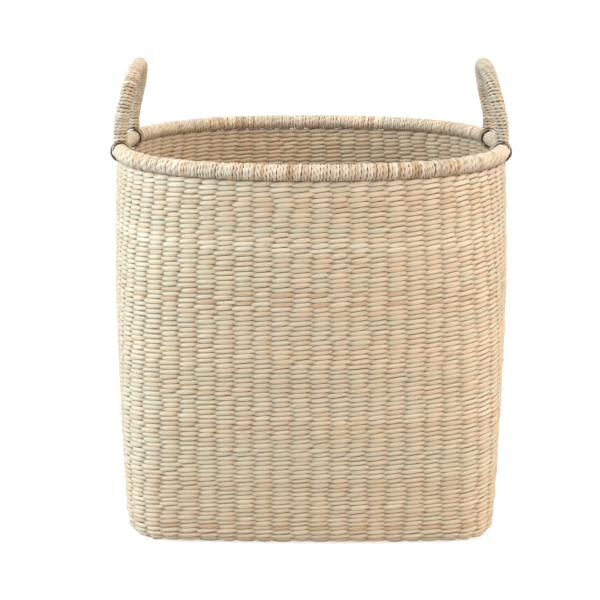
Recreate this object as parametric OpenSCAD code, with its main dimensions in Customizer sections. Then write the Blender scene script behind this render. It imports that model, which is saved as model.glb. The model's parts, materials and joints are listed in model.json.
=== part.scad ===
// Seagrass storage basket: a twined body on upright stakes, a bound rim hoop,
// and two bound bail handles whose loops pivot on the rim.
// Origin at the middle of the underside, +Z up, handles on the left and right (X).

/* [Rim] */
// Half width of the rim, measured to the middle of its hoop
rim_half_w = 212; // [175:0.5:254]
// Half depth of the rim, measured to the middle of its hoop
rim_half_d = 204; // [170:0.5:245]
// Height of the middle of the rim above the floor
rim_z = 406.5; // [335:0.5:490]
// Arc radius of the rim at the handle sides
rim_side_r = 330; // [280:5:400]
// Arc radius of the rim at the front and back
rim_end_r = 320; // [270:5:385]
// Arc radius that joins the rim's sides to its front and back
rim_corner_r = 160; // [130:1:175]
// Radius of the hoop that stiffens the rim
hoop_r = 5.5; // [4:0.1:7]
// Thickness of the seagrass cord bound round the rim hoop
rim_bind_t = 3; // [2:0.1:4]

/* [Body] */
// Half width of the underside
base_half_w = 205; // [170:0.5:246]
// Half depth of the underside
base_half_d = 184; // [153:0.5:222]
// Arc radius of the underside along the handle sides
base_side_r = 2600; // [2000:50:3200]
// Arc radius of the underside along the front and back
base_end_r = 2800; // [2200:50:3400]
// Arc radius of the underside's corners
base_corner_r = 50; // [41:1:60]
// Radius of the turn from underside to wall
heel_r = 14; // [11.5:0.5:17]
// Thickness of the woven wall and base
weave_t = 7; // [5.8:0.1:8.5]
// How far the wall bellies out between base and rim
belly = 9.5; // [7.5:0.5:11.5]

/* [Stakes] */
// Upright stakes in each quarter of the wall
stakes_per_quarter = 18; // [15:1:22]
// Thickness of a stake
stake_d = 2.4; // [1.8:0.1:2.8]

/* [Handles] */
// Which gap between stakes a handle loop passes through, counted from mid side
loop_gap_no = 3; // [2:1:4]
// Free play of a loop round the rim
loop_play = 0.4; // [0.3:0.1:0.8]
// Clearance between a loop and the stakes beside it
loop_side_play = 0.7; // [0.5:0.1:1]
// Thickness of the loop where it passes round the rim
loop_t = 2; // [1.6:0.1:2.4]
// Radius of the cane core of a handle
cane_r = 5; // [4:0.1:6]
// Thickness of the seagrass cord bound round a handle
handle_bind_t = 3; // [2.4:0.1:3.6]
// Height above the rim's middle at which a handle starts to lean inward
leg_h = 20; // [18:0.5:24]
// Radius of the bend where a handle starts to lean
lean_bend_r = 60; // [50:1:72]
// Angle by which a handle leans inward at rest
lean = 14; // [11:1:17]
// Length of a leg from that bend up to the middle of the grip
leg_len = 55; // [51:1:66]
// Radius of a handle's shoulders, where the loops stand far enough apart
shoulder_r = 48; // [40:1:50]

/* [Hidden] */

$fn = 48;
SEAGRASS = [0.80, 0.72, 0.59];
SEAGRASS_PALE = [0.85, 0.80, 0.70];
BINDING = [0.76, 0.67, 0.53];
CANE = [0.62, 0.48, 0.32];

// how far the wall's top edge reaches up into the binding; stakes reach half as far
tuck = 2;
// clearance under a loop where it passes through the wall
notch_play = 1;
// width over which a notch's side rises, which keeps the wall one clean skin
notch_ramp = 0.3;
// wall columns between mid side and notch, and between notch and mid front
side_columns = 3;
front_columns = 15;
// rings in the heel and up the wall
heel_steps = 4;
wall_steps = 9;
// facets round a stake
stake_facets = 6;
// overlap of neighbouring lengths of a bent cane, and how much every other one is slimmer
splice_len = 0.5;
splice_slim = 0.04;
// least straight length left beside a handle's shoulder
shoulder_room = 1;

rim_r = hoop_r + rim_bind_t;
handle_r = cane_r + handle_bind_t;
wall_top = rim_z - rim_r + tuck;

rim_plan = quarter_arcs(rim_half_w, rim_half_d, rim_side_r, rim_end_r, rim_corner_r);
base_plan = quarter_arcs(base_half_w, base_half_d, base_side_r, base_end_r, base_corner_r);

stake_pitch = plan_length(rim_plan) / stakes_per_quarter;
loop_f = loop_gap_no / stakes_per_quarter;
loop_spot = quarter_point(rim_plan, loop_f);
loop_x = loop_spot[0];
loop_y = loop_spot[1];
loop_w = stake_pitch - stake_d - 2 * loop_side_play;
// the rim runs at a slant through a loop and its neck, which widens the bore they need
loop_slant = max(loop_w / 2, handle_r) * abs(loop_spot[3] / loop_spot[2]);
loop_bore_r = rim_r + loop_slant + loop_play;
loop_outer_r = loop_bore_r + loop_t;

// a notch leaves side play at both faces of the wall, which the loop crosses at a slant
notch_half = loop_w / 2 + loop_side_play + weave_t / 2 * abs(loop_spot[3]);
notch_half_f = notch_half / plan_length(rim_plan);
notch_ramp_f = notch_ramp / plan_length(rim_plan);
notch_z = rim_z - loop_outer_r - notch_play;

// a shoulder is rounded no further than its leg and half its grip leave room for
shoulder = min(shoulder_r, loop_y - shoulder_room, leg_len - shoulder_room);
leg_straight = leg_len - shoulder;

// ---- plan outlines: a quarter is three tangent arcs ----

// middle of the corner arc: where circles about the two side arcs' middles cross
function corner_middle(c0, r0, c1, r1) =
    let (gap = norm(c1 - c0),
         along = (r0 * r0 - r1 * r1 + gap * gap) / (2 * gap),
         aside = sqrt(r0 * r0 - along * along),
         dir = (c1 - c0) / gap)
    c0 + along * dir + aside * [-dir[1], dir[0]] * (dir[0] > 0 ? 1 : -1);

// each arc is [middle, radius, first angle, last angle]
function quarter_arcs(half_w, half_d, side_r, end_r, corner_r) =
    let (side = [half_w - side_r, 0],
         end = [0, half_d - end_r],
         corner = corner_middle(side, side_r - corner_r, end, end_r - corner_r),
         turn_1 = atan2(corner[1] - side[1], corner[0] - side[0]),
         turn_2 = atan2(corner[1] - end[1], corner[0] - end[0]))
    [[side, side_r, 0, turn_1], [corner, corner_r, turn_1, turn_2], [end, end_r, turn_2, 90]];

function arc_length(arc) = arc[1] * (arc[3] - arc[2]) * PI / 180;

function plan_length(arcs) = arc_length(arcs[0]) + arc_length(arcs[1]) + arc_length(arcs[2]);

// point and outward normal at a distance along one arc
function arc_point(arc, along) =
    let (a = arc[2] + along / arc[1] * 180 / PI)
    [arc[0][0] + arc[1] * cos(a), arc[0][1] + arc[1] * sin(a), cos(a), sin(a)];

// the same at a fraction f of the whole quarter
function quarter_point(arcs, f) =
    let (d = f * plan_length(arcs),
         l0 = arc_length(arcs[0]),
         l1 = arc_length(arcs[1]))
    d <= l0 ? arc_point(arcs[0], d)
    : d <= l0 + l1 ? arc_point(arcs[1], d - l0)
    : arc_point(arcs[2], d - l0 - l1);

// ---- the woven skin ----

// a skin point: f along the quarter, out = distance outside the outer face;
// the heel keeps the underside's plan, and the wall blends from it to the rim's
function skin_point(f, out, z) =
    let (t = max(z - heel_r, 0) / (rim_z - heel_r),
         low = quarter_point(base_plan, f),
         high = quarter_point(rim_plan, f),
         spot = low + (high - low) * t,
         n = [spot[2], spot[3]] / norm([spot[2], spot[3]]),
         shift = out + weave_t / 2 * t + belly * 4 * t * (1 - t))
    [spot[0] + n[0] * shift, spot[1] + n[1] * shift, z];

// quarters 0 to 3 go round from +X through +Y; q odd runs its quarter backwards
function quarter_sign_x(q) = q == 1 || q == 2 ? -1 : 1;
function quarter_sign_y(q) = q >= 2 ? -1 : 1;
function place(p, q) = [quarter_sign_x(q) * p[0], quarter_sign_y(q) * p[1], p[2]];

// fractions of a quarter at which the skin has a column
quarter_columns = concat(
    [for (i = [0:side_columns - 1]) (loop_f - notch_half_f - notch_ramp_f) * i / side_columns],
    [loop_f - notch_half_f - notch_ramp_f, loop_f - notch_half_f],
    [loop_f + notch_half_f, loop_f + notch_half_f + notch_ramp_f],
    [for (i = [1:front_columns])
        let (first = loop_f + notch_half_f + notch_ramp_f)
        first + (1 - first) * i / front_columns]);

last_column = len(quarter_columns) - 1;

// all columns round the basket as [quarter, fraction]; shared ends appear once
columns = [for (q = [0:3], i = [0:last_column - 1])
    [q, q % 2 == 0 ? quarter_columns[i] : quarter_columns[last_column - i]]];

function in_notch(f) = abs(f - loop_f) < notch_half_f + notch_ramp_f / 2;

function top_z(f) = in_notch(f) ? notch_z : wall_top;

// one column's section as a closed loop: up the outer face, down the inner face
function column_section(f) = concat(
    [for (i = [0:heel_steps])
        let (a = 90 * i / heel_steps)
        skin_point(f, heel_r * (sin(a) - 1), heel_r * (1 - cos(a)))],
    [for (i = [1:wall_steps - 1])
        skin_point(f, 0, heel_r + (notch_z - 1 - heel_r) * i / (wall_steps - 1))],
    [skin_point(f, 0, top_z(f)), skin_point(f, -weave_t, top_z(f))],
    [for (i = [wall_steps - 1:-1:1])
        skin_point(f, -weave_t, heel_r + (notch_z - 1 - heel_r) * i / (wall_steps - 1))],
    [for (i = [heel_steps:-1:0])
        let (a = 90 * i / heel_steps)
        skin_point(f, (heel_r - weave_t) * sin(a) - heel_r, heel_r - (heel_r - weave_t) * cos(a))]);

// underside panel, cut to the inner end of the heel
module base_weave() {
    color(SEAGRASS)
    linear_extrude(weave_t)
    polygon([for (c = columns)
        let (p = place(skin_point(c[1], -heel_r, 0), c[0])) [p[0], p[1]]]);
}

// the twined wall as one closed skin with an open mouth and four loop notches
module wall_weave() {
    sections = [for (c = columns) [for (p = column_section(c[1])) place(p, c[0])]];
    rings = len(sections[0]);
    count = len(sections);
    color(SEAGRASS_PALE)
    polyhedron(
        points = [for (s = sections, p = s) p],
        faces = [for (i = [0:count - 1], j = [0:rings - 1])
            let (i2 = (i + 1) % count, j2 = (j + 1) % rings)
            each [[i * rings + j, i * rings + j2, i2 * rings + j2],
                  [i * rings + j, i2 * rings + j2, i2 * rings + j]]]);
}

// ---- stakes: each runs up one wall, across the base and up the opposite wall ----

// half of a stake's route, from its tip at the rim down to the heel's inner end
function stake_route(f) =
    let (mid = -weave_t / 2,
         tip = wall_top - tuck / 2,
         turn = heel_r - weave_t / 2)
    concat(
        [for (i = [4:-1:1]) skin_point(f, mid, heel_r + (tip - heel_r) * i / 4)],
        [for (a = [90, 50, 20]) skin_point(f, turn * sin(a) - heel_r, heel_r - turn * cos(a))]);

// a rod with flat facets through a list of points, its flats set by a side direction
module rod(route, side, d) {
    rings = len(route);
    k = stake_facets;
    points = [for (i = [0:rings - 1])
        let (before = route[max(i - 1, 0)],
             after = route[min(i + 1, rings - 1)],
             dir = (after - before) / norm(after - before),
             u = cross(dir, side) / norm(cross(dir, side)),
             w = cross(u, dir))
        for (j = [0:k - 1]) route[i] + d / 2 * (cos(360 * j / k) * w + sin(360 * j / k) * u)];
    polyhedron(
        points = points,
        faces = concat(
            [for (i = [0:rings - 2], j = [0:k - 1])
                let (j2 = (j + 1) % k)
                each [[i * k + j, (i + 1) * k + j2, i * k + j2],
                      [i * k + j, (i + 1) * k + j, (i + 1) * k + j2]]],
            [[for (j = [0:k - 1]) j], [for (j = [k - 1:-1:0]) (rings - 1) * k + j]]));
}

// stake fractions that belong to the front and back, or to the handle sides
function is_long(f) = let (p = quarter_point(base_plan, f)) p[3] > p[2];

stake_fractions = [for (i = [0:stakes_per_quarter - 1]) (i + 0.5) / stakes_per_quarter];

// the two crossing sets pass over each other in the base
cross_over = weave_t / 4;

// one whole stake: the half route, its flat run in the base, and its mirror image
module whole_stake(f, mirror_sign, along_y) {
    flat_z = weave_t / 2 + (along_y ? cross_over : -cross_over);
    half = [for (p = stake_route(f)) along_y ? [mirror_sign * p[0], p[1], p[2]]
                                             : [p[0], mirror_sign * p[1], p[2]]];
    inner = half[len(half) - 1];
    flat = along_y ? [inner[0], inner[1] - heel_r / 2, flat_z]
                   : [inner[0] - heel_r / 2, inner[1], flat_z];
    run = concat(half, [flat]);
    back = [for (i = [len(run) - 1:-1:0]) along_y ? [run[i][0], -run[i][1], run[i][2]]
                                                  : [-run[i][0], run[i][1], run[i][2]]];
    rod(concat(run, back), along_y ? [1, 0, 0] : [0, 1, 0], stake_d);
}

module long_stakes() {
    color(CANE)
    for (f = stake_fractions, s = [-1, 1])
        if (is_long(f)) whole_stake(f, s, true);
}

module cross_stakes() {
    color(CANE)
    for (f = stake_fractions, s = [-1, 1])
        if (!is_long(f)) whole_stake(f, s, false);
}

// ---- bent canes and their bindings: lengths that overlap end to end ----

// profile of a length: solid when bore is 0; slim makes it fit inside its neighbours
module length_profile(r, bore, slim) {
    difference() {
        circle(r - slim);
        if (bore > 0) circle(bore + slim);
    }
}

// a straight length along +Z from the origin
module straight_length(r, bore, len, slim) {
    linear_extrude(len) length_profile(r, bore, slim);
}

// a bend in the XY plane about the origin, lengthened at each end by the splice
module bent_length(r, bore, bend_r, from, to, splice, slim) {
    extra = splice / bend_r * 180 / PI;
    rotate([0, 0, from - extra])
        rotate_extrude(angle = to - from + 2 * extra, $fn = 180)
            translate([bend_r, 0]) length_profile(r, bore, slim);
}

// ---- rim: two side lengths, front and back lengths, four corner lengths ----

module rim_sweep(r, bore) {
    side = rim_plan[0];
    corner = rim_plan[1];
    end = rim_plan[2];
    translate([0, 0, rim_z])
    for (turn = [0, 1])
        rotate([0, 0, 180 * turn]) {
            translate([side[0][0], 0, 0]) bent_length(r, bore, side[1], -side[3], side[3], 0, 0);
            translate([0, end[0][1], 0]) bent_length(r, bore, end[1], end[2], 180 - end[2], 0, 0);
            for (flip = [0, 1])
                mirror([flip, 0, 0])
                    translate([corner[0][0], corner[0][1], 0])
                        bent_length(r, bore, corner[1], corner[2], corner[3], splice_len, splice_slim);
        }
}

module rim_hoop() {
    color(CANE)
    rim_sweep(hoop_r, 0);
}

module rim_binding() {
    color(BINDING)
    rim_sweep(rim_r, hoop_r);
}

// ---- handles, drawn for the right side about the middle of the rim between the loops ----

// puts a right-hand shape on the right (1) or the left (-1)
module on_side(side) {
    mirror([side < 0 ? 1 : 0, 0, 0])
        translate([loop_x, 0, rim_z]) children();
}

// a loop round the rim with the neck that holds the end of the cane
module loop(side, end) {
    color(BINDING)
    on_side(side)
    translate([0, end * loop_y, 0])
    difference() {
        union() {
            rotate([90, 0, 0]) cylinder(r = loop_outer_r, h = loop_w, center = true);
            cylinder(r = handle_r, h = leg_h);
        }
        rotate([90, 0, 0]) cylinder(r = loop_bore_r, h = 3 * handle_r, center = true);
        translate([0, 0, loop_outer_r]) cylinder(r = cane_r, h = leg_h);
    }
}

// the bail above the loops, from each neck up over the shoulders to the grip
module bail_sweep(r, bore) {
    for (end = [0, 1])
        mirror([0, end, 0]) {
            translate([-lean_bend_r, loop_y, leg_h])
                rotate([90, 0, 0]) bent_length(r, bore, lean_bend_r, 0, lean, 0, 0);
            above_lean() {
                translate([0, loop_y, -splice_len])
                    straight_length(r, bore, leg_straight + 2 * splice_len, splice_slim);
                translate([0, loop_y - shoulder, leg_straight])
                    rotate([90, 0, 90]) bent_length(r, bore, shoulder, 0, 90, 0, 0);
            }
        }
    grip_half = loop_y - shoulder + splice_len;
    above_lean()
        translate([0, -grip_half, leg_len])
            rotate([-90, 0, 0]) straight_length(r, bore, 2 * grip_half, splice_slim);
}

// moves a shape to where the legs have leaned inward
module above_lean() {
    translate([-lean_bend_r * (1 - cos(lean)), 0, leg_h + lean_bend_r * sin(lean)])
        rotate([0, -lean, 0]) children();
}

module handle_cane(side) {
    color(CANE)
    on_side(side) {
        bail_sweep(cane_r, 0);
        for (end = [-1, 1])
            translate([0, end * loop_y, loop_outer_r])
                straight_length(cane_r, 0, leg_h - loop_outer_r + splice_len, splice_slim);
    }
}

module handle_binding(side) {
    color(BINDING)
    on_side(side) bail_sweep(handle_r, cane_r);
}

base_weave();
wall_weave();
long_stakes();
cross_stakes();
rim_hoop();
rim_binding();
loop(-1, -1);  // left_front_loop
loop(-1, 1);  // left_back_loop
handle_cane(-1);  // left_handle_cane
handle_binding(-1);  // left_handle_binding
loop(1, -1);  // right_front_loop
loop(1, 1);  // right_back_loop
handle_cane(1);  // right_handle_cane
handle_binding(1);  // right_handle_binding
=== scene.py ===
# %% [markdown]
# # A seagrass storage basket, twined stalk by stalk
#
# The real basket is made of dried seagrass. Two stalks at a time are twined round upright
# canes, row upon row, so the wall is a skin of short slanted floats. A hoop, bound with the
# same grass, stiffens the mouth, and two bound handles hang on it by loops.
#
# The maker's plan gives every size, and it is loaded first as a fixed frame. This lesson
# then lays real stalks over that frame. A flat sheet with a bumpy picture of weaving would
# be quicker, but its edge and its hollows would stay flat, so each stalk is a mesh of its own.

# %% The frame
import bpy
import json
import math
import numpy as np
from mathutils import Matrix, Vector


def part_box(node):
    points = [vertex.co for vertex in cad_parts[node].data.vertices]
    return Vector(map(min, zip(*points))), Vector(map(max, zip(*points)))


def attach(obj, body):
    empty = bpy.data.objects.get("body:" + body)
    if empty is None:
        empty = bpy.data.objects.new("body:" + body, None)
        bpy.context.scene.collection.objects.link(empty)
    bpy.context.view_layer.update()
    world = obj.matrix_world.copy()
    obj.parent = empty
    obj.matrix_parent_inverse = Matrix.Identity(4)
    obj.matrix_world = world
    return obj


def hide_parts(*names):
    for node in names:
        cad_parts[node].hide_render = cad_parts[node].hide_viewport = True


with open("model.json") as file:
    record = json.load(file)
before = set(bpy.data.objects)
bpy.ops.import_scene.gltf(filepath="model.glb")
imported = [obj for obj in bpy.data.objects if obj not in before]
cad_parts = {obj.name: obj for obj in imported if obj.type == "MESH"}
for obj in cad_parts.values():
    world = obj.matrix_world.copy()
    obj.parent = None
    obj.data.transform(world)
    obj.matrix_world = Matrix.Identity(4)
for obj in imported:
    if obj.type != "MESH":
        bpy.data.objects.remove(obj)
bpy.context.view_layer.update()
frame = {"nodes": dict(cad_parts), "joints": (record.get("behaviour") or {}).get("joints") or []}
MM = 0.001

# %% [markdown]
# ## Sizes read from the plan
#
# A maker measures the frame before weaving on it. The hoop's box tells how wide and deep the
# mouth is and how thick the hoop is, and a loop's box tells where the handles stand. Reading
# them here, and not writing them down again, keeps the weaving on the frame if it changes.

# %% Sizes of the frame


def box(node):
    low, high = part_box(node)
    return np.array(low), np.array(high)


hoop_low, hoop_high = box("rim_hoop")
binding_low, binding_high = box("rim_binding")
base_low, base_high = box("base_weave")
loop_low, loop_high = box("right_back_loop")
hinge = next(j for j in frame["joints"] if j["child"] == "right_handle")

RIM_Z = (hoop_low[2] + hoop_high[2]) / 2
HOOP_R = (hoop_high[2] - hoop_low[2]) / 2
RIM_R = (binding_high[2] - binding_low[2]) / 2
RIM_HALF_W = hoop_high[0] - HOOP_R
RIM_HALF_D = hoop_high[1] - HOOP_R
WEAVE_T = base_high[2] - base_low[2]
LOOP_X = hinge["pos_m"][0]
LOOP_Y = (loop_low[1] + loop_high[1]) / 2
LOOP_W = loop_high[1] - loop_low[1]
LOOP_OUT_R = RIM_Z - loop_low[2]
LEG_H = loop_high[2] - RIM_Z
print("rim half sizes, mm:", round(RIM_HALF_W / MM, 1), round(RIM_HALF_D / MM, 1))
print("rim height, mm:", round(RIM_Z / MM, 1), "radius:", round(RIM_R / MM, 2))
print("loop middle, mm:", round(LOOP_X / MM, 1), round(LOOP_Y / MM, 1))
print("loop radius, mm:", round(LOOP_OUT_R / MM, 2))

# %% [markdown]
# ## The plan outline
#
# Seen from above, the mouth is a soft rounded square and the foot a firmer one. Each quarter
# is three arcs that run smoothly into each other, as a maker would set a former out with a
# few bent laths. The arc radii can't be read from a box, so they are named here.

# %% The outline as arcs
HEEL_R = 14 * MM
BELLY = 9.5 * MM
RIM_ARCS = (330 * MM, 320 * MM, 160 * MM)
BASE_ARCS = (2600 * MM, 2800 * MM, 50 * MM)


def quarter_arcs(half_w, half_d, radii):
    """A quarter outline as three arcs, each (middle, radius, first angle, last angle)."""
    side_r, end_r, corner_r = radii
    side, end = np.array([half_w - side_r, 0.0]), np.array([0.0, half_d - end_r])
    gap = np.linalg.norm(end - side)
    way = (end - side) / gap
    r0, r1 = side_r - corner_r, end_r - corner_r
    along = (r0 * r0 - r1 * r1 + gap * gap) / (2 * gap)
    aside = math.sqrt(r0 * r0 - along * along) * (1 if way[0] > 0 else -1)
    corner = side + along * way + aside * np.array([-way[1], way[0]])
    turn_1 = math.atan2(*(corner - side)[::-1])
    turn_2 = math.atan2(*(corner - end)[::-1])
    return [
        (side, side_r, 0.0, turn_1),
        (corner, corner_r, turn_1, turn_2),
        (end, end_r, turn_2, math.pi / 2),
    ]


def plan_length(arcs):
    return sum(r * (b - a) for _, r, a, b in arcs)


def quarter_point(arcs, share):
    """Place and outward direction at a share, 0 to 1, of a quarter outline."""
    left = np.asarray(share) * plan_length(arcs)
    place, out = np.zeros(left.shape + (2,)), np.zeros(left.shape + (2,))
    start = 0.0
    for n, (middle, r, a, b) in enumerate(arcs):
        length = r * (b - a)
        here = (left >= start - 1e-12) if n == 0 else (left > start)
        angle = a + (left - start) / r
        out[here] = np.stack([np.cos(angle), np.sin(angle)], -1)[here]
        place[here] = middle + r * out[here]
        start += length
    return place, out


def round_point(arcs, turn):
    """The same all the way round: turn 0 is +X, 0.25 is +Y, and so on."""
    turn = np.mod(turn, 1.0)
    quarter = np.minimum((turn * 4).astype(int), 3)
    share = turn * 4 - quarter
    share = np.where(quarter % 2 == 0, share, 1 - share)
    place, out = quarter_point(arcs, share)
    left_half, front_half = (quarter == 1) | (quarter == 2), quarter >= 2
    sign = np.stack([np.where(left_half, -1, 1), np.where(front_half, -1, 1)], -1)
    return place * sign, out * sign


rim_plan = quarter_arcs(RIM_HALF_W, RIM_HALF_D, RIM_ARCS)
base_plan = quarter_arcs(base_high[0] + HEEL_R, base_high[1] + HEEL_R, BASE_ARCS)
RIM_LENGTH = 4 * plan_length(rim_plan)
print("round the rim, m:", round(RIM_LENGTH, 3))
print("round the foot, m:", round(4 * plan_length(base_plan), 3))

# %% [markdown]
# ## The middle of the wall
#
# The upright canes run up the middle of the wall: they turn out of the base round a tight
# heel, belly a little, and end under the rim. `wall_frame` gives that middle surface, with
# its outward and upward directions, for a turn round the basket and a climb up the wall.
# Every stalk of the wall is laid from it.

# %% The wall's middle surface
HEEL_MID_R = HEEL_R - WEAVE_T / 2
HEEL_CLIMB = HEEL_MID_R * math.pi / 2


def unit(v):
    return v / np.linalg.norm(v, axis=-1, keepdims=True)


def wall_frame(turn, climb):
    """Place, outward and upward directions on the wall's middle surface."""
    bend = np.clip(climb / HEEL_MID_R, 0, math.pi / 2)
    on_heel, above_heel = HEEL_R - HEEL_MID_R * np.cos(bend), HEEL_R + climb - HEEL_CLIMB
    z = np.where(climb < HEEL_CLIMB, on_heel, above_heel)
    inset = HEEL_MID_R * np.sin(bend) - HEEL_R
    rise = np.clip(z - HEEL_R, 0, None) / (RIM_Z - HEEL_R)
    low, low_out = round_point(base_plan, turn)
    high, high_out = round_point(rim_plan, turn)
    out = unit(low_out + (high_out - low_out) * rise[..., None])
    shift = inset + WEAVE_T / 2 * rise + BELLY * 4 * rise * (1 - rise)
    place = low + (high - low) * rise[..., None] + out * shift[..., None]
    level = np.zeros(out.shape[:-1] + (1,))
    flat = np.concatenate([out, level], -1)
    upright = np.array([0.0, 0.0, 1.0])
    outward = flat * np.sin(bend)[..., None] - upright * np.cos(bend)[..., None]
    upward = flat * np.cos(bend)[..., None] + upright * np.sin(bend)[..., None]
    return np.concatenate([place, z[..., None]], -1), outward, upward


# %% [markdown]
# ## Cordage: many stalks in one mesh
#
# A stalk is a long tube whose section is a soft oval. Blender's bevelled curves could do
# this, but thousands of them are slow, and their sections can't change freely. Here the
# rings of points are worked out with numpy for hundreds of stalks at once, then handed to
# Blender as one mesh.
#
# Each point also carries two notes for the finish. `stalk` says which shade the stalk is and
# how much painted shade darkens this spot, and `fibre` says where on the stalk it lies,
# lengthwise and round it, so that the fibres can run along the stalk however it bends. `edges`
# says how much less painted shade the open face of a stalk takes than its two edges, which
# touch the neighbours.
#
# Every tube is laid out flat in strips of its own too, with a little room between strips, so
# that a finish can be baked cleanly. A long tube is folded into several strips.

# %% A bundle of cordage
STRIP_FILL = 0.96
STRIP_ROOM = 0.02


class Cordage:
    """Collects tubes, then makes one mesh of them."""

    def __init__(self, sides):
        self.sides = sides
        self.points, self.quads, self.caps = [], [], []
        self.stalk, self.fibre, self.strips = [], [], []
        self.count = 0

    def add(self, path, outward, wide, thick, stalk, along,
            closed=False, ply=0.0, twist=0.0, folds=1, edges=0.0):
        """Adds tubes: path, outward and stalk are (cords, rings, 3), and the others (cords, rings).

        wide and thick are half sizes, and along is the distance along the stalk.
        """
        cords, rings = path.shape[:2]
        ahead = np.roll(path, -1, 1) - np.roll(path, 1, 1)
        if not closed:
            ahead[:, 0], ahead[:, -1] = path[:, 1] - path[:, 0], path[:, -1] - path[:, -2]
        ahead = unit(ahead)
        outward = unit(outward - np.sum(outward * ahead, -1, keepdims=True) * ahead)
        across = np.cross(ahead, outward)
        angle = np.arange(self.sides) * 2 * math.pi / self.sides
        lobes = 1 + ply * np.cos(2 * (angle - np.broadcast_to(twist, (cords, rings))[..., None]))
        side = wide[..., None] * np.cos(angle) * lobes
        face = thick[..., None] * np.sin(angle) * lobes
        rows = path[:, :, None] + side[..., None] * across[:, :, None]
        rows = rows + face[..., None] * outward[:, :, None]
        index = self.count + np.arange(cords * rings * self.sides).reshape(cords, rings, self.sides)
        spans = rings if closed else rings - 1
        near, far = index[:, :spans], np.roll(index, -1, 1)[:, :spans]
        quads = np.stack([near, far, np.roll(far, -1, 2), np.roll(near, -1, 2)], -1)
        self.quads.append(quads.reshape(-1, 4))
        if not closed:
            self.caps += [index[:, 0], index[:, -1, ::-1]]
        self.points.append(rows.reshape(-1, 3))
        notes = np.repeat(stalk.reshape(-1, 3), self.sides, 0)
        # Painted shade: the open face takes less of it than the edges that touch the neighbours.
        notes[:, 2] *= np.tile(1 - edges * np.sin(angle) ** 2, cords * rings)
        self.stalk.append(notes)
        spot = np.stack([np.broadcast_to(along[..., None], side.shape), side, face], -1)
        self.fibre.append(spot.reshape(-1, 3))
        self.strips.append((cords, spans, folds))
        self.count += cords * rings * self.sides

    def bake_places(self):
        """Where the corners of every face lie on the flat layout."""
        total = sum(cords * folds for cords, _, folds in self.strips)
        places, first = [], 0
        for cords, spans, folds in self.strips:
            counts = np.arange(cords), np.arange(spans), np.arange(self.sides)
            cord, span, side = np.meshgrid(*counts, indexing="ij")
            per_fold = -(-spans // folds)
            strip = first + cord * folds + span // per_fold
            left = (span % per_fold) / per_fold
            low = (strip + side / self.sides * STRIP_FILL + STRIP_ROOM) / total
            right, high = left + 1 / per_fold, low + STRIP_FILL / self.sides / total
            corners = np.stack([left, low, right, low, right, high, left, high], -1)
            places.append(corners.reshape(-1, 2))
            first += cords * folds
        return np.concatenate(places)

    def build(self, name, finish, body, slot, *nodes):
        """Makes the mesh, hangs it on its body and hides the plan nodes that it stands for."""
        points = np.concatenate(self.points)
        quads = np.concatenate(self.quads)
        caps = np.concatenate(self.caps) if self.caps else np.zeros((0, self.sides), int)
        corners = np.concatenate([quads.ravel(), caps.ravel()])
        cap_starts = quads.size + np.arange(len(caps)) * self.sides
        starts = np.concatenate([np.arange(len(quads)) * 4, cap_starts])
        mesh = bpy.data.meshes.new(name)
        mesh.vertices.add(len(points))
        mesh.vertices.foreach_set("co", points.astype(np.float32).ravel())
        mesh.loops.add(len(corners))
        mesh.loops.foreach_set("vertex_index", corners.astype(np.int32))
        mesh.polygons.add(len(starts))
        mesh.polygons.foreach_set("loop_start", starts.astype(np.int32))
        flat = mesh.uv_layers.new(name="OFBake")
        places = np.concatenate([self.bake_places(), np.zeros((caps.size, 2))])
        flat.data.foreach_set("uv", places.astype(np.float32).ravel())
        for title, values in (("stalk", self.stalk), ("fibre", self.fibre)):
            note = mesh.attributes.new(title, "FLOAT_VECTOR", "POINT")
            note.data.foreach_set("vector", np.concatenate(values).astype(np.float32).ravel())
        mesh.update(calc_edges=True)
        mesh.validate()
        mesh.shade_smooth()
        mesh.materials.append(finish)
        piece = bpy.data.objects.new(name, mesh)
        bpy.context.scene.collection.objects.link(piece)
        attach(piece, body)
        if nodes:
            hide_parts(*nodes)
        print(name, "faces:", len(starts))
        return piece


# %% [markdown]
# ## Shades that follow the stalk
#
# A bundle of dried seagrass holds cream, straw, greenish and rusty stalks. A weaver works one
# stalk until it runs out and then lays in the next, so a shade lasts for a length and then
# changes. Where a stalk lasts for more than one round, its shade stands in the same columns
# of the next row too. The change is put where the stalk is behind a cane, out of sight.
#
# A few stalks are odd ones, very pale or rusty. All the chance in this lesson comes from one
# seeded source, so the basket comes out the same each time.

# %% Shades of the stalks
chance = np.random.default_rng(7)
PALE_ODD, RUSTY_ODD = 0.05, 0.95


def shades(length, shortest, longest, break_at=None, spread=0.15, odd=0.05):
    """A function from a distance to (tone, greenness), for stalks laid in one after another.

    spread is how far their tones differ, and odd is the share of very pale or rusty ones.
    """
    breaks = np.cumsum(chance.uniform(shortest, longest, int(length / shortest) + 2))
    if break_at is not None:
        breaks = break_at(breaks)
    tone = np.clip(chance.normal(0.5, spread, len(breaks) + 1), 0.1, 0.85)
    rare = chance.random(len(breaks) + 1)
    tone = np.where(rare < odd, PALE_ODD, np.where(rare > 1 - odd, RUSTY_ODD, tone))
    green = np.clip(chance.normal(0.3, 0.25, len(breaks) + 1), 0, 1)
    green = np.where(rare > 1 - odd, 0.0, green)

    def look_up(distance):
        which = np.searchsorted(breaks, distance)
        return tone[which], green[which]

    return look_up


# %% [markdown]
# ## Fibres, shared by every grass finish
#
# Dried seagrass is ribbed along its length. The ribs are one shader node group, made once
# with named inputs and outputs and placed in every finish with its own values. Its input
# `Place` is the `fibre` note of the mesh, squeezed lengthwise, so the noise becomes long
# streaks. It gives out a streak mask, a height for a bump and a roughness.

# %% The fibre group


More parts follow.
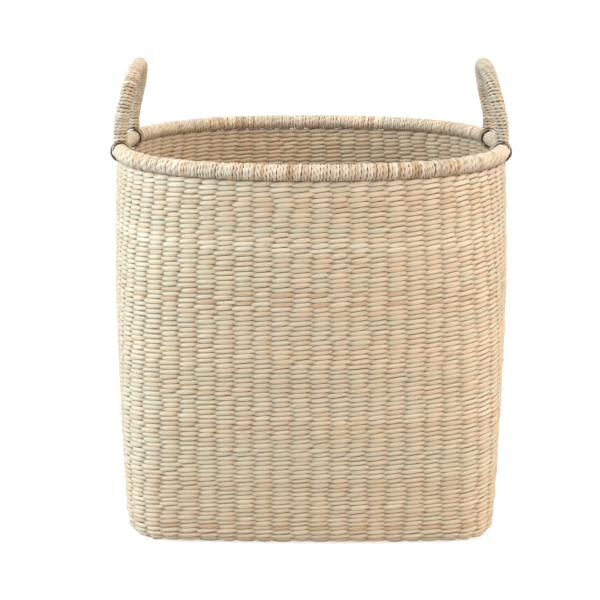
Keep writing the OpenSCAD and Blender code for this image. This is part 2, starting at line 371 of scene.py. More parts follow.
def new_group(name, inputs, outputs):
    """An empty node group; inputs and outputs are lists of (name, kind, default)."""
    group = bpy.data.node_groups.new(name, "ShaderNodeTree")
    for in_out, sockets in (("INPUT", inputs), ("OUTPUT", outputs)):
        for title, kind, default in sockets:
            kind = "NodeSocket" + kind
            socket = group.interface.new_socket(name=title, in_out=in_out, socket_type=kind)
            if default is not None:
                socket.default_value = default
    return group, group.nodes.new("NodeGroupInput"), group.nodes.new("NodeGroupOutput")


def feed(tree, socket, value):
    """Sets an input to a value, or wires it to another node's socket."""
    if isinstance(value, bpy.types.NodeSocket):
        tree.links.new(value, socket)
    else:
        socket.default_value = value


def node(tree, kind, settings=None, **values):
    """A node with its settings and inputs; i0 is the first input, i1 the next, or by name."""
    made = tree.nodes.new("ShaderNode" + kind)
    for key, value in (settings or {}).items():
        setattr(made, key, value)
    for key, value in values.items():
        numbered = key[0] == "i" and key[1:].isdigit()
        feed(tree, made.inputs[int(key[1:]) if numbered else key.replace("_", " ")], value)
    return made


def stretched(tree, place, along, across):
    """A place on a stalk, drawn out so that noise becomes streaks."""
    factors = (along, across, across)
    return node(tree, "VectorMath", {"operation": "MULTIPLY"}, i0=place, i1=factors).outputs[0]


def maths(tree, operation, a, b=0.0):
    return node(tree, "Math", {"operation": operation}, i0=a, i1=b).outputs[0]


def ranged(tree, value, low, high, to_low, to_high):
    """A value moved from one range to another."""
    made = node(tree, "MapRange", None, Value=value)
    ends = {"From Min": low, "From Max": high, "To Min": to_low, "To Max": to_high}
    for key, number in ends.items():
        made.inputs[key].default_value = number
    return made.outputs[0]


fibre_group, taken, given = new_group(
    "seagrass_fibre",
    [("Place", "Vector", None), ("Fineness", "Float", 1.0), ("Softness", "Float", 0.5)],
    [("Streak", "Float", None), ("Height", "Float", None), ("Roughness", "Float", None)],
)
squeezed = stretched(fibre_group, taken.outputs["Place"], 45, 1500)
scaled = node(
    fibre_group, "VectorMath", {"operation": "SCALE"}, i0=squeezed, Scale=taken.outputs["Fineness"]
).outputs[0]
ribs = node(
    fibre_group, "TexNoise", None, Vector=scaled, Scale=1.0, Detail=3.0, Roughness=0.6
).outputs[0]
streak = ranged(fibre_group, ribs, 0.32, 0.68, 0.0, 1.0)
fibre_group.links.new(streak, given.inputs["Streak"])
fibre_group.links.new(maths(fibre_group, "POWER", streak, 0.8), given.inputs["Height"])
smoother_ribs = ranged(fibre_group, ribs, 0.3, 0.7, 0.12, -0.06)
rough = maths(fibre_group, "ADD", taken.outputs["Softness"], smoother_ribs)
fibre_group.links.new(rough, given.inputs["Roughness"])
print("group:", fibre_group.name, "outputs:", [s.name for s in given.inputs if s.name])

# %% [markdown]
# ## Shade of a stalk, shared by every grass finish
#
# A second group turns the `stalk` note into a colour. Tone runs from pale through middle to
# deep, greenness leans it towards unripe grass, and patches of noise keep one stalk from being
# even from end to end. The note's painted shade, heaviest where a spot lies deep between its
# neighbours, blends the colour towards the dark hollow colour.

# %% The shade group


def blended(tree, share, a, b):
    """A colour between a (share 0) and b (share 1)."""
    made = node(tree, "Mix", {"data_type": "RGBA", "blend_type": "MIX"})
    for key, value in (("Factor_Float", share), ("A_Color", a), ("B_Color", b)):
        feed(tree, next(s for s in made.inputs if s.identifier == key), value)
    return next(s for s in made.outputs if s.identifier == "Result_Color")


shade_group, taken, given = new_group(
    "stalk_shade",
    [("Tone", "Float", 0.5), ("Greenness", "Float", 0.0), ("Buried", "Float", 0.0),
     ("Streak", "Float", 0.5), ("Place", "Vector", None), ("Pale", "Color", None),
     ("Middle", "Color", None), ("Deep", "Color", None), ("Unripe", "Color", None),
     ("Hollow", "Color", None), ("Patchiness", "Float", 0.25)],
    [("Color", "Color", None)],
)
drawn_out = stretched(shade_group, taken.outputs["Place"], 30, 120)
patch = node(shade_group, "TexNoise", None, Vector=drawn_out, Scale=1.0, Detail=2.0).outputs[0]
patch = maths(shade_group, "SUBTRACT", patch, 0.5)
patch = maths(shade_group, "MULTIPLY", patch, taken.outputs["Patchiness"])
tone = maths(shade_group, "ADD", taken.outputs["Tone"], patch)
past_pale = ranged(shade_group, tone, 0.0, 0.5, 0.0, 1.0)
past_middle = ranged(shade_group, tone, 0.5, 1.0, 0.0, 1.0)
between_ribs = ranged(shade_group, taken.outputs["Streak"], 0.0, 0.45, 0.22, 0.0)
shade = blended(shade_group, past_pale, taken.outputs["Pale"], taken.outputs["Middle"])
shade = blended(shade_group, past_middle, shade, taken.outputs["Deep"])
shade = blended(shade_group, taken.outputs["Greenness"], shade, taken.outputs["Unripe"])
shade = blended(shade_group, between_ribs, shade, taken.outputs["Hollow"])
# Painted shade: the note's shade blends the colour towards the hollow colour.
shade = blended(shade_group, taken.outputs["Buried"], shade, taken.outputs["Hollow"])
shade_group.links.new(shade, given.inputs["Color"])
print("group:", shade_group.name, "inputs:", len(taken.outputs) - 1)

# %% [markdown]
# ## The grass and cane finishes
#
# Both groups go into each finish, and the shader stays in the finish itself. The wall's grass
# is palest, and the cord that binds the rim and handles is a little warmer, because it is
# twisted from older, browner stalks. Grass is dry and satin: fairly rough, with a faint sheen.

# %% Finishes


def colour(red, green, blue):
    """A shade card's colour, 0 to 255, as the linear values that Blender mixes."""
    share = np.array([red, green, blue]) / 255
    linear = np.where(share <= 0.04045, share / 12.92, ((share + 0.055) / 1.055) ** 2.4)
    return (*linear.tolist(), 1.0)


def grouped(tree, group, **values):
    """One of the groups above, placed in a finish with its own values."""
    return node(tree, "Group", {"node_tree": group}, **values)


def ribbed(tree, fibre, strength, relief):
    """Gives a finish the ribs and the roughness of the fibre group; returns its shader."""
    shader = tree.nodes["Principled BSDF"]
    tree.links.new(fibre.outputs["Roughness"], shader.inputs["Roughness"])
    height = fibre.outputs["Height"]
    bump = node(tree, "Bump", None, Strength=strength, Distance=relief, Height=height)
    tree.links.new(bump.outputs["Normal"], shader.inputs["Normal"])
    return shader


def grass(name, pale, middle, deep, unripe, hollow, fineness, softness, relief):
    """A finish for stalks that carry the stalk and fibre notes."""
    finish = bpy.data.materials.new(name)
    finish.use_nodes = True
    tree = finish.node_tree
    stalk = node(tree, "Attribute", {"attribute_name": "stalk"})
    place = node(tree, "Attribute", {"attribute_name": "fibre"}).outputs["Vector"]
    parts = node(tree, "SeparateXYZ", None, Vector=stalk.outputs["Vector"]).outputs
    fibre = grouped(tree, fibre_group, Place=place, Fineness=fineness, Softness=softness)
    shade = grouped(
        tree, shade_group, Tone=parts[0], Greenness=parts[1], Buried=parts[2],
        Streak=fibre.outputs["Streak"], Place=place, Patchiness=0.3,
        Pale=pale, Middle=middle, Deep=deep, Unripe=unripe, Hollow=hollow,
    )
    shader = ribbed(tree, fibre, 0.6, relief)
    tree.links.new(shade.outputs["Color"], shader.inputs["Base Color"])
    shader.inputs["Specular IOR Level"].default_value = 0.4
    shader.inputs["Sheen Weight"].default_value = 0.12
    shader.inputs["Sheen Roughness"].default_value = 0.5
    return finish


wall_grass = grass(
    "wall_grass", colour(244, 228, 200), colour(230, 206, 172), colour(214, 180, 142),
    colour(218, 205, 174), colour(126, 96, 62), fineness=1.0, softness=0.48, relief=0.0003,
)
rim_cord = grass(
    "rim_cord", colour(253, 240, 219), colour(236, 210, 178), colour(196, 162, 124),
    colour(222, 212, 188), colour(128, 94, 62), fineness=1.3, softness=0.62, relief=0.0004,
)
handle_cord = grass(
    "handle_cord", colour(246, 230, 206), colour(224, 200, 169), colour(194, 160, 122),
    colour(214, 202, 178), colour(112, 82, 54), fineness=1.3, softness=0.62, relief=0.0004,
)
print("grass finishes:", wall_grass.name, rim_cord.name, handle_cord.name)

# %% [markdown]
# The canes and the hoop are nearly hidden. Their shapes in the plan are right, so they stay as
# they are and only get a finish. They carry no notes, so their grain runs by where a point is
# in space, and the fibre group serves them too.

# %% Finish of the canes
cane = bpy.data.materials.new("cane")
cane.use_nodes = True
tree = cane.node_tree
spot = node(tree, "TexCoord").outputs["Object"]
grain = grouped(tree, fibre_group, Place=spot, Fineness=0.35, Softness=0.5)
cane_colour = blended(tree, grain.outputs["Streak"], colour(150, 116, 76), colour(198, 166, 122))
tree.links.new(cane_colour, ribbed(tree, grain, 0.4, 0.0003).inputs["Base Color"])
CANES = ["long_stakes", "cross_stakes", "rim_hoop", "left_handle_cane", "right_handle_cane"]
for name in CANES:
    mesh = frame["nodes"][name].data
    mesh.materials.clear()
    mesh.materials.append(cane)
print("cane finish on:", CANES)

# %% [markdown]
# ## Twining
#
# In twining, two stalks work together. At each cane one passes outside and the other inside,
# and between canes they cross with a half turn. So a stalk's distance from the wall's middle
# follows a cosine, and its height follows a sine: it dives in low, crosses over the cane and
# leaves high, which gives each float its slant. The second stalk does the opposite.
#
# `twine` places a stalk by its phase. Over a cane the stalk is pressed flat and wide, and
# where the two cross it is squeezed narrow and its edges get painted shade, which with the
# narrow gaps there makes the small dark dots between floats. No two floats are quite alike,
# so each has its own thickness.

# %% Twining
REACH = 2.05 * MM
LIFT = 0.9 * MM
FLOAT_HALF_H = 2.6 * MM
FLOAT_HALF_T = 1.65 * MM
CROSS_HALF_H = 2.05 * MM
CROSS_HALF_T = 2.2 * MM
SNAP = 0.6  # below 1, a stalk stays outside for longer and crosses quickly
# Painted shade: the next two set the shade painted on the edges where two stalks cross, and how
# much of it the open face takes.
CROSS_SHADE = 0.9  # how dark the edges are where two stalks cross
FACE_CLEAR = 0.85  # how much less of that dark the open face takes


def twine(phase, jitter):
    """Offsets out and up, half sizes and painted shade, for a stalk at this phase.

    Phase 0 is outside a cane, and pi is inside. jitter is the float's own random number.
    """
    swing, climb = np.cos(phase), np.sin(phase)
    out = REACH * np.sign(swing) * np.abs(swing) ** SNAP * (1 + 0.12 * jitter)
    up = LIFT * (0.75 * climb + 0.25 * climb**3)
    flat = np.abs(swing)
    wide = CROSS_HALF_H + (FLOAT_HALF_H * (1 + 0.07 * jitter) - CROSS_HALF_H) * flat
    thick = CROSS_HALF_T + (FLOAT_HALF_T * (1 + 0.08 * jitter) - CROSS_HALF_T) * flat
    # Painted shade: where the stalks cross, their edges are darkened, for the shaded dots between
    # floats.
    crease_shade = CROSS_SHADE * (1 - flat) ** 3
    return out, up, wide, thick, crease_shade


def per_float(count, phase):
    """One random number for each float, held from crossing to crossing."""
    values = chance.normal(0, 1, count).clip(-1.8, 1.8)
    return values[np.floor(phase / math.pi + 0.5).astype(int) % count]


# %% [markdown]
# ## The wall
#
# Seventy-two canes stand round the wall, and the rows climb from the inner edge of the heel to
# just under the rim. A hand-made row is never quite level, so rows wander a little, and
# neighbours wander together so that they never run into each other. The crossings don't
# stand exactly above each other either. The rows are built in bands, only because very large
# meshes are awkward to pass on.
#
# Beside each handle loop the top rows stop at the canes, which leaves the slot that the loop
# passes through. `LOOP_STEPS` says where the four loops stand, counted in canes.

# %% Rows of the wall
STAKES = 72
PER_CANE = 8  # rings of points along a stalk, from one cane to the next
ROW_PITCH = 5.15 * MM
TOP_GAP = 2.9 * MM  # from the rim's underside to the middle of the top row
BANDS = 10
LOOP_STEPS = [2.5, 32.5, 38.5, 68.5]
NOTCH_HALF = 0.5
NOTCH_BOTTOM = RIM_Z - LOOP_OUT_R - 1 * MM
TAPER = np.array([0.55, 0.85, 1.0])  # a cut stalk narrows over its last rings
FIBRES_APART = 1.7  # so that no two strands show the same fibres

steps = np.arange(STAKES * PER_CANE) / PER_CANE
top_climb = HEEL_CLIMB + RIM_Z - RIM_R - TOP_GAP - HEEL_R
rows = int(round((top_climb - ROW_PITCH / 2) / ROW_PITCH)) + 1
climbs = np.linspace(ROW_PITCH / 2, top_climb, rows)
print("rows:", rows, "pitch, mm:", round((climbs[1] - climbs[0]) / MM, 2))


def wander(turn, climb):
    """How far a row strays up or down: slow waves that change slowly from row to row."""
    strays = 0.55 * np.sin(2 * math.pi * (2 * turn + 3.1 * climb))
    strays = strays + 0.35 * np.sin(2 * math.pi * (5 * turn - 7.3 * climb) + 1)
    strays = strays + 0.22 * np.sin(2 * math.pi * (11 * turn + 19 * climb) + 2)
    return strays * MM


def break_behind(strand):
    """Moves a change of stalk to the nearest cane that this strand passes behind."""
    return lambda turns: (2 * np.round(turns * STAKES / 2) + 1 - strand - 0.5) / STAKES


wall_shades = [
    shades(rows + 1, 0.2, 1.9, break_behind(strand), spread=0.1, odd=0.012) for strand in (0, 1)
]
row_tone = 0.05 * np.sin(np.arange(rows) / 5.1) + 0.04 * np.sin(np.arange(rows) / 1.9 + 1)
row_tone = row_tone + chance.normal(0, 0.02, rows)
row_sway = chance.normal(0, 0.09, (rows, STAKES)).clip(-0.16, 0.16)


def stalk_run(row, strand, steps):
    """Everything Cordage needs for one strand of one row, at these steps (counted in canes)."""
    turn = (steps + 0.5) / STAKES
    crossings = np.arange(STAKES * 2 + 1) - 0.5
    sway = np.interp(steps, crossings, np.resize(row_sway[row], len(crossings)))
    phase = math.pi * (steps + strand + sway)
    floats = per_float(STAKES, phase)
    out, up, wide, thick, crease_shade = twine(phase, floats)
    climb = climbs[row] + up + wander(turn, climbs[row]) * min(1, row / 4, (rows - 1 - row) / 3)
    place, outward, _ = wall_frame(turn, climb)
    path = place + outward * out[:, None]
    tone, green = wall_shades[strand](row + np.mod(turn, 1.0))
    tone = np.clip(tone + row_tone[row] + 0.05 * floats, 0, 1)
    along = (row * 2 + strand) * FIBRES_APART + turn * RIM_LENGTH
    return path, outward, wide, thick, np.stack([tone, green, crease_shade], -1), along


def lay_row(cords, row, strand):
    """One strand of one row: a closed ring, or four lengths where it meets the loops' slots."""
    if HEEL_R + climbs[row] - HEEL_CLIMB + FLOAT_HALF_H < NOTCH_BOTTOM:
        run = [part[None] for part in stalk_run(row, strand, steps)]
        cords.add(*run, closed=True, folds=2, edges=FACE_CLEAR)
        return
    for first, last in zip(LOOP_STEPS, LOOP_STEPS[1:] + [LOOP_STEPS[0] + STAKES]):
        start, stop = (first + NOTCH_HALF) * PER_CANE, (last - NOTCH_HALF) * PER_CANE
        run = list(stalk_run(row, strand, np.arange(start, stop + 0.5) / PER_CANE))
        from_start = np.arange(len(run[2]))
        taper = TAPER[np.minimum(np.minimum(from_start, from_start[::-1]), 2)]
        run[2], run[3] = run[2] * taper, run[3] * taper
        cords.add(*[part[None] for part in run], edges=FACE_CLEAR)


for band, members in enumerate(np.array_split(np.arange(rows), BANDS), 1):
    cords = Cordage(sides=8)
    for row in members:
        for strand in (0, 1):
            lay_row(cords, row, strand)
    stands_for = ["wall_weave"] if band == 1 else []
    cords.build(f"wall_rows_{band}", wall_grass, "basket", "seagrass_weave", *stands_for)

# %% [markdown]
# ## The underside
#
# Here the rows run straight from side to side and twine round the canes that cross the base.
# The canes are not evenly spaced near the corners, so the phase is counted from cane to cane
# and not by distance. Each row ends where the base curves up into the heel, tucked a little
# under the first rows of the wall.

# %% Rows of the base
BASE_MID_Z = WEAVE_T / 2 + 0.4 * MM
BASE_PER_CANE = 5
BASE_FIBRES_APART = 0.9
TUCK = 2.6 * MM
half_w, half_d = base_high[0], base_high[1]
corner_r = BASE_ARCS[2] - HEEL_R
quarter_turns = (np.arange(STAKES // 4) + 0.5) / (STAKES // 4)
cane_place, cane_out = quarter_point(base_plan, quarter_turns)
crossing = cane_place[cane_out[:, 1] > cane_out[:, 0], 0]
canes = np.sort(np.concatenate([-crossing, crossing]))
canes = np.concatenate([[2 * canes[0] - canes[1]], canes, [2 * canes[-1] - canes[-2]]])
print("canes over the base:", len(canes) - 2)


def base_reach(y):
    """Half length of a row at this distance from the middle, inside the rounded outline."""
    past = max(abs(y) - (half_d - corner_r), 0.0)
    return half_w - corner_r + math.sqrt(max(corner_r**2 - past**2, 0.0))


base_rows = int(2 * half_d / ROW_PITCH)
base_shades = [shades(base_rows + 1, 0.3, 2.5) for _ in (0, 1)]
cords = Cordage(sides=6)
for row in range(base_rows):
    y = -half_d + (row + 0.5) * 2 * half_d / base_rows
    reach = base_reach(y) + TUCK
    x = np.linspace(-reach, reach, int(2 * reach / (canes[2] - canes[1]) * BASE_PER_CANE))
    for strand in (0, 1):
        phase = math.pi * (np.interp(x, canes, np.arange(len(canes))) + strand)
        out, up, wide, thick, crease_shade = twine(phase, per_float(len(canes) + 2, phase))
        path = np.stack([x, y + up, BASE_MID_Z - out], -1)
        down = np.broadcast_to([0.0, 0.0, -1.0], path.shape)
        tone, green = base_shades[strand](row + (x + reach) / (2 * reach) * 0.99)
        notes = np.stack([tone, green, crease_shade], -1)
        along = (row * 2 + strand) * BASE_FIBRES_APART + x
        run = path, down, wide, thick, notes, along
        cords.add(*[part[None] for part in run], edges=FACE_CLEAR)
cords.build("base_rows", wall_grass, "basket", "seagrass_weave", "base_weave")

# %% [markdown]
# ## Coils: the bound rim and handles
#
# A binding is one cord wound round and round a core. Its middle line is a helix, and if the
# core bends, the helix bends with it. `coil` takes the core's middle line with two directions
# square to it, and winds a cord of two plies, whose lobes turn slowly along the cord.
#
# Hand-wound turns crowd and gape a little, so they stray along the core, and each turn has
# its own thickness and looseness.

# %% Winding a cord round a core
PER_TURN = 36  # rings of points in one turn round the core
PLY_DEPTH = 0.26


def smooth_noise(count, every):
    """Random numbers that change smoothly, about once in every so many."""
    knots = chance.normal(0, 1, int(count / every) + 4)
    at = np.arange(count) / every
    low = at.astype(int)
    ease = 0.5 - 0.5 * np.cos(math.pi * (at - low))
    return knots[low] * (1 - ease) + knots[low + 1] * ease


def turn_stray(count, slow, quick):
    """How far turns stray along the core, in turns: a slow drift and a quick wobble."""
    return slow * smooth_noise(count, PER_TURN * 3) + quick * smooth_noise(count, PER_TURN * 0.8)


def coil(cords, core, side_a, side_b, angle, radius, wide, thick, look, ply_length,
         loose, first=0.0, painted_shade=0.0):
    """Winds a cord at this angle about each core point; look gives its shades along the cord.

    loose is how far a turn may stand off the core, in mm, and the last argument is the painted
    shade that darkens the cord.
    """
    count = len(core)
    per_turn = 2 * math.pi / abs(angle[1] - angle[0])
    outward = side_a * np.cos(angle)[:, None] + side_b * np.sin(angle)[:, None]
    bulge = smooth_noise(count, per_turn * 0.7)
    lift = loose * MM * (0.6 * bulge + 0.4 * smooth_noise(count, per_turn * 0.3))
    path = core + outward * (radius + lift)[:, None]
    along = first + np.concatenate([[0], np.cumsum(np.linalg.norm(np.diff(path, axis=0), axis=1))])
    tone, green = look(along)
    tone = np.clip(tone + 0.24 * smooth_noise(count, per_turn * 0.45), 0, 1)
    fit = 1 + 0.08 * smooth_noise(count, per_turn * 0.6)
    notes = np.stack([tone, green, np.broadcast_to(painted_shade, count)], -1)
    twist = 2 * math.pi * along / ply_length
    run = path, outward, wide * fit, thick * fit, notes, along
    cords.add(*[part[None] for part in run], ply=PLY_DEPTH, twist=twist[None], folds=24)


# %% [markdown]
# ## The rim's binding
#
# The cord goes round the hoop and over the wall's top edge more than four hundred times. It
# is wound here in two lengths, back and front, only to keep each mesh small. Turns are
# counted along the rim, so they keep their spacing where the outline bends. Underneath,
# where the cord meets the wall, each turn is darkened with a painted shade.

# %% Binding the rim
RIM_PITCH = 3.05 * MM
RIM_CORD_HALF_W = 1.55 * MM
RIM_PLY = 13 * MM
CORD_HALF_T = (RIM_R - HOOP_R) / 2
rim_turns = int(round(RIM_LENGTH / RIM_PITCH / 2))
rim_cord_length = RIM_LENGTH / RIM_PITCH * 2 * math.pi * RIM_R
rim_look = shades(rim_cord_length, 0.1, 0.9, spread=0.06, odd=0.0)
first = 0.0
for name, start in (("rim_coil_back", 0.0), ("rim_coil_front", 0.5)):
    count = rim_turns * PER_TURN + 1
    winding = np.arange(count) / PER_TURN
    stray = turn_stray(count, 0.1, 0.12)
    turn = start + 0.5 * np.clip(winding + stray, 0, rim_turns) / rim_turns
    place, out = round_point(rim_plan, turn)
    core = np.concatenate([place, np.full((count, 1), RIM_Z)], -1)
    side_a = np.concatenate([out, np.zeros((count, 1))], -1)
    side_b = np.broadcast_to([0.0, 0.0, 1.0], side_a.shape)
    angle = 2 * math.pi * winding
    # Painted shade: the underside of each turn is darkened, as shade from the light above.
    painted_shade = 0.38 * np.clip(0.1 - np.sin(angle), 0, 1) ** 1.3
    cords = Cordage(sides=10)
    coil(cords, core, side_a, side_b, angle, HOOP_R + CORD_HALF_T, RIM_CORD_HALF_W, CORD_HALF_T,
         rim_look, RIM_PLY, loose=0.26, first=first, painted_shade=painted_shade)
    first += rim_turns * 2 * math.pi * RIM_R
    stands_for = ["rim_binding"] if start == 0 else []
    cords.build(name, rim_cord, "basket", "rim_seagrass", *stands_for)

# %% [markdown]
# ## The handles' middle line
#
# A handle is a bent cane, drawn once for the right side and mirrored for the left. It stands
# straight on its loops, leans inward, turns over round shoulders and runs level along the
# grip. The line is set out as lengths and bends, the way the cane was bent, and every point
# keeps a direction that faces out of the handle's own plane.

# %% Middle line of a handle
LEAN = math.radians(14)
LEAN_BEND_R = 60 * MM
LEG_LEN = 55 * MM
SHOULDER_R = 48 * MM
STEP = 0.2 * MM


def half_handle():
    """Half a handle on the right, from the neck to mid grip: places and outward directions."""
    a = np.arange(0, LEAN, STEP / LEAN_BEND_R)
    bend_x, bend_z = LEAN_BEND_R * (np.cos(a) - 1), LEG_H + LEAN_BEND_R * np.sin(a)
    bend = np.stack([bend_x, np.full(a.shape, -LOOP_Y), bend_z], -1)
    bend_out = np.stack([np.cos(a), 0 * a, np.sin(a)], -1)
    leg = np.arange(0, LEG_LEN - SHOULDER_R, STEP)
    b = np.arange(0, math.pi / 2, STEP / SHOULDER_R)
    grip = np.arange(0, LOOP_Y - SHOULDER_R, STEP)
    y = np.concatenate([0 * leg, SHOULDER_R * (1 - np.cos(b)), SHOULDER_R + grip]) - LOOP_Y
    up = np.concatenate([leg, LEG_LEN - SHOULDER_R * (1 - np.sin(b)), 0 * grip + LEG_LEN])
    sine, cosine = math.sin(LEAN), math.cos(LEAN)
    origin = np.array([-LEAN_BEND_R * (1 - cosine), 0, LEG_H + LEAN_BEND_R * sine])
    upper = origin + y[:, None] * [0, 1, 0] + up[:, None] * [-sine, 0, cosine]
    upper_out = np.broadcast_to([cosine, 0, sine], upper.shape)
    return np.concatenate([bend, upper]), np.concatenate([bend_out, upper_out])


half, half_out = half_handle()
line = np.concatenate([half, half[::-1] * [1, -1, 1]])
line_out = np.concatenate([half_out, half_out[::-1]])
line_run = np.concatenate([[0], np.cumsum(np.linalg.norm(np.diff(line, axis=0), axis=1))])
line_length = line_run[-1]
# Points may meet at mid grip, so the distance is nudged to keep growing there.
line_ahead = np.gradient(line, line_run + 1e-9 * np.arange(len(line_run)), axis=0)
print("handle line, mm:", round(line_length / MM, 1))
print("handle height over the rim, mm:", round(line[:, 2].max() / MM, 1))

# %% [markdown]
# ## The handles' binding
#
# The cord starts low on one leg, where it sits on the loop, and is wound over the grip to the
# other foot. The lowest turns can't lie flat, because the loop under them is round: they dip
# at the two sides, like a saddle, and level out higher up the leg.

# %% Binding the handles
HANDLE_CANE_R = 5 * MM
HANDLE_PITCH = 3.5 * MM
HANDLE_CORD_HALF_W = 1.68 * MM
HANDLE_PLY = 12 * MM
NECK_TURNS = 2.0
SADDLE_TURNS = 4
cord_on_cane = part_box("right_handle_binding")[1][0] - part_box("right_handle_cane")[1][0]
HANDLE_R = cord_on_cane + HANDLE_CANE_R
HANDLE_CORD_T = (HANDLE_R - HANDLE_CANE_R) / 2
print("bound handle radius, mm:", round(HANDLE_R / MM, 2))


def saddle(path, turns_up):
    """Lets the lowest turns of a foot dip where the round loop below them falls away."""
    aside = np.minimum(np.abs(path[:, 0]), LOOP_OUT_R * 0.95)
    dip = LOOP_OUT_R - np.sqrt(LOOP_OUT_R**2 - aside**2)
    path[:, 2] -= dip * np.clip(1 - turns_up / SADDLE_TURNS, 0, 1)


def mirrored(points, side):
    """Puts right-hand points on the right (1) or the left (-1), about the rim's middle there."""
    return points * [side, 1, 1] + [side * LOOP_X, 0, RIM_Z]


def on_line(at, values):
    """Values kept for the points of the middle line, read off at these distances along it."""
    return np.stack([np.interp(at, line_run, values[:, n]) for n in range(3)], -1)


def bind_handle(side, name, body, *nodes):
    """Winds one handle's cord, from below one neck to below the other."""
    turns = int(round(line_length / HANDLE_PITCH))
    winding = np.arange(-NECK_TURNS, turns + NECK_TURNS, 1 / PER_TURN)
    stray = turn_stray(len(winding), 0.06, 0.06)
    at = (winding + stray * (winding > 0) * (winding < turns)) / turns * line_length
    core = on_line(at, line)
    core[:, 2] += np.minimum(at, 0) + np.minimum(line_length - at, 0)
    side_a = unit(on_line(at, line_out))
    side_b = unit(np.cross(side_a, on_line(at, line_ahead)))
    angle = 2 * math.pi * winding
    outward = side_a * np.cos(angle)[:, None] + side_b * np.sin(angle)[:, None]
    reach = core + outward * (HANDLE_CANE_R + HANDLE_CORD_T)
    shifted = reach.copy()
    saddle(shifted, np.minimum(winding, turns - winding) + NECK_TURNS)
    core = mirrored(core + (shifted - reach), side)
    side_a, side_b = side_a * [side, 1, 1], side_b * [side, 1, 1]
    cords = Cordage(sides=10)
    look = shades(turns * 2 * math.pi * HANDLE_R, 0.1, 0.7, spread=0.12, odd=0.02)
    coil(cords, core, side_a, side_b, angle, HANDLE_CANE_R + HANDLE_CORD_T, HANDLE_CORD_HALF_W,
         HANDLE_CORD_T, look, HANDLE_PLY, loose=0.14)
    return cords.build(name, handle_cord, body, "handle_seagrass", *nodes)


# %% [markdown]
# ## The loops
#
# Each foot ends in a few turns of cord round the rim. They hang on it with a little play, so
# the handle can swing, and they are pressed flat, because they have to pass through a slot
# between two canes. Each loop follows the slant of the rim where it hangs.

# %% Winding the loops
LOOP_TURNS = 4
LOOP_PER_TURN = 40
LOOP_TURN_W = LOOP_W / LOOP_TURNS
LOOP_CORD_HALF_W = LOOP_TURN_W * 0.53  # a little over half, so that the turns touch
LOOP_CORD_T = 0.65 * MM
LOOP_MID_R = LOOP_OUT_R - 1.0 * MM - 0.45 * MM  # in by half the plan's cord, and drawn closer
LOOP_SLANT = 0.06
LOOP_PLY = 14 * MM


def wind_loop(side, end, name, body, node_name):
    count = LOOP_TURNS * LOOP_PER_TURN + 1
    angle = math.pi / 2 + np.linspace(0, 2 * math.pi * LOOP_TURNS, count)
    half = LOOP_W / 2 - LOOP_TURN_W / 2
    spread = np.linspace(-half, half, count)
    core = np.stack([-end * LOOP_SLANT * spread, end * LOOP_Y + spread, np.zeros(count)], -1)
    core = mirrored(core, side)
    side_a = np.broadcast_to([1.0, 0.0, 0.0], core.shape)
    side_b = np.broadcast_to([0.0, 0.0, 1.0], core.shape)
    cords = Cordage(sides=10)
    # Painted shade: the whole loop is darkened by half, for the shadowed gap round the rim.
    coil(cords, core, side_a, side_b, angle, LOOP_MID_R, LOOP_CORD_HALF_W, LOOP_CORD_T,
         shades(0.4, 0.1, 0.3), LOOP_PLY, loose=0.06, painted_shade=0.5)
    return cords.build(name, handle_cord, body, "handle_seagrass", node_name)


for side, which in ((-1, "left"), (1, "right")):
    body = which + "_handle"
    bind_handle(side, which + "_handle_coil", body, which + "_handle_binding")
    for end, place_name in ((-1, "front"), (1, "back")):
        wind_loop(side, end, f"{which}_{place_name}_loop_coil", body, f"{which}_{place_name}_loop")

# %% [markdown]
# ## Floor and light
#
# A plain pale floor and a pale sky keep the eye on the grass. To the camera the floor also
# glows a little, so that it looks as white as a lit backdrop. It doesn't glow for the basket,
# which would be lit from below. The light is a large soft window on the left, a little cool,
# with a weaker warm one on the right, so that every float is rounded by its own shadow.

# %% Floor and light
FLOOR_REACH = 60.0
FLOOR_DROP = 0.5 * MM
FLOOR_GLOW = 0.68
SKY = 0.58

corners = [(x * FLOOR_REACH, y * FLOOR_REACH, 0) for x, y in ((-1, -1), (1, -1), (1, 1), (-1, 1))]
floor_mesh = bpy.data.meshes.new("floor")
floor_mesh.from_pydata(corners, [], [(0, 1, 2, 3)])
floor = bpy.data.objects.new("floor", floor_mesh)
bpy.context.scene.collection.objects.link(floor)
floor.location.z = -FLOOR_DROP
pale = bpy.data.materials.new("pale_floor")
pale.use_nodes = True
surface = pale.node_tree.nodes["Principled BSDF"]
surface.inputs["Base Color"].default_value = (0.62, 0.62, 0.62, 1)
surface.inputs["Roughness"].default_value = 0.9
surface.inputs["Emission Color"].default_value = (1, 1, 1, 1)
camera_rays = node(pale.node_tree, "LightPath").outputs["Is Camera Ray"]
glow = maths(pale.node_tree, "MULTIPLY", camera_rays, FLOOR_GLOW)
pale.node_tree.links.new(glow, surface.inputs["Emission Strength"])
floor_mesh.materials.append(pale)

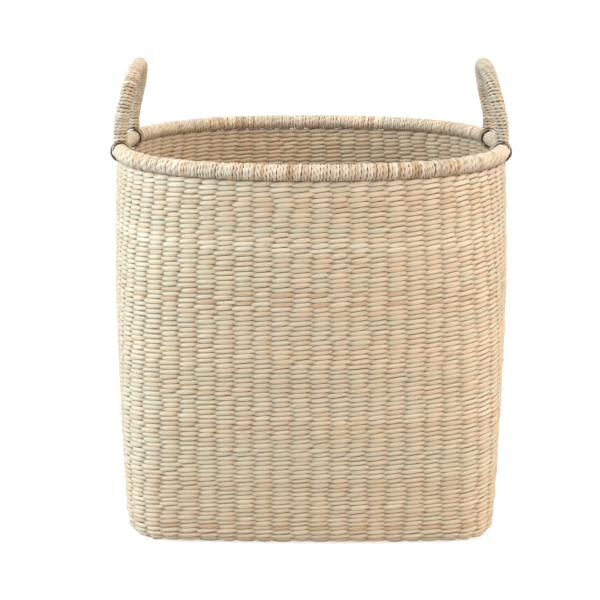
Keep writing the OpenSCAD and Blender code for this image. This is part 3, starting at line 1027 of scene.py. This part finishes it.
world = bpy.data.worlds.new("sky")
world.use_nodes = True
sky = world.node_tree
sky.nodes["Background"].inputs["Color"].default_value = (1.0, 1.0, 1.0, 1)
sky.nodes["Background"].inputs["Strength"].default_value = SKY
seen_sky = node(sky, "Background", None, Color=(1.0, 1.0, 1.0, 1))
camera_rays = node(sky, "LightPath").outputs["Is Camera Ray"]
choose = node(sky, "MixShader", None, i0=camera_rays)
sky.links.new(sky.nodes["Background"].outputs[0], choose.inputs[1])
sky.links.new(seen_sky.outputs[0], choose.inputs[2])
sky.links.new(choose.outputs[0], sky.nodes["World Output"].inputs[0])
bpy.context.scene.world = world
bpy.context.scene.view_settings.view_transform = "Standard"


def window(name, place, aim, size, power, tint):
    """A soft rectangular light at a place, facing its aim."""
    light = bpy.data.lights.new(name, "AREA")
    light.shape, light.size, light.size_y = "RECTANGLE", size[0], size[1]
    light.energy, light.color = power, tint
    lamp = bpy.data.objects.new(name, light)
    bpy.context.scene.collection.objects.link(lamp)
    lamp.location = place
    way = np.array(aim, float) - np.array(place, float)
    lamp.rotation_euler = Vector(way).to_track_quat("-Z", "Y").to_euler()


window("left_window", (-2.3, -0.45, 0.95), (0, 0, 0.25), (1.4, 1.4), 57, (0.63, 0.82, 1.0))
window("right_window", (2.2, -0.9, 1.0), (0, 0, 0.25), (1.4, 1.4), 32, (1.0, 0.90, 0.85))
window("top_soft", (0.1, -0.4, 2.4), (0, 0, 0.3), (1.6, 1.6), 21, (1.0, 0.98, 0.94))

# %% [markdown]
# ## Camera
#
# The camera stands back at about the height of a table and looks a little down into the
# mouth. It is rolled very slightly, because the basket doesn't stand quite upright.

# %% Camera
CAMERA_PLACE = (0, -1.6087, 0.6321)
LOOKS_DOWN = 0.2477
ROLLED = 0.0077

camera = bpy.data.objects.new("camera", bpy.data.cameras.new("camera"))
bpy.context.scene.collection.objects.link(camera)
camera.location = CAMERA_PLACE
camera.rotation_euler = (math.pi / 2 - LOOKS_DOWN, 0.0, ROLLED)
camera.data.sensor_width = 36
camera.data.lens = 85.95
bpy.context.scene.camera = camera
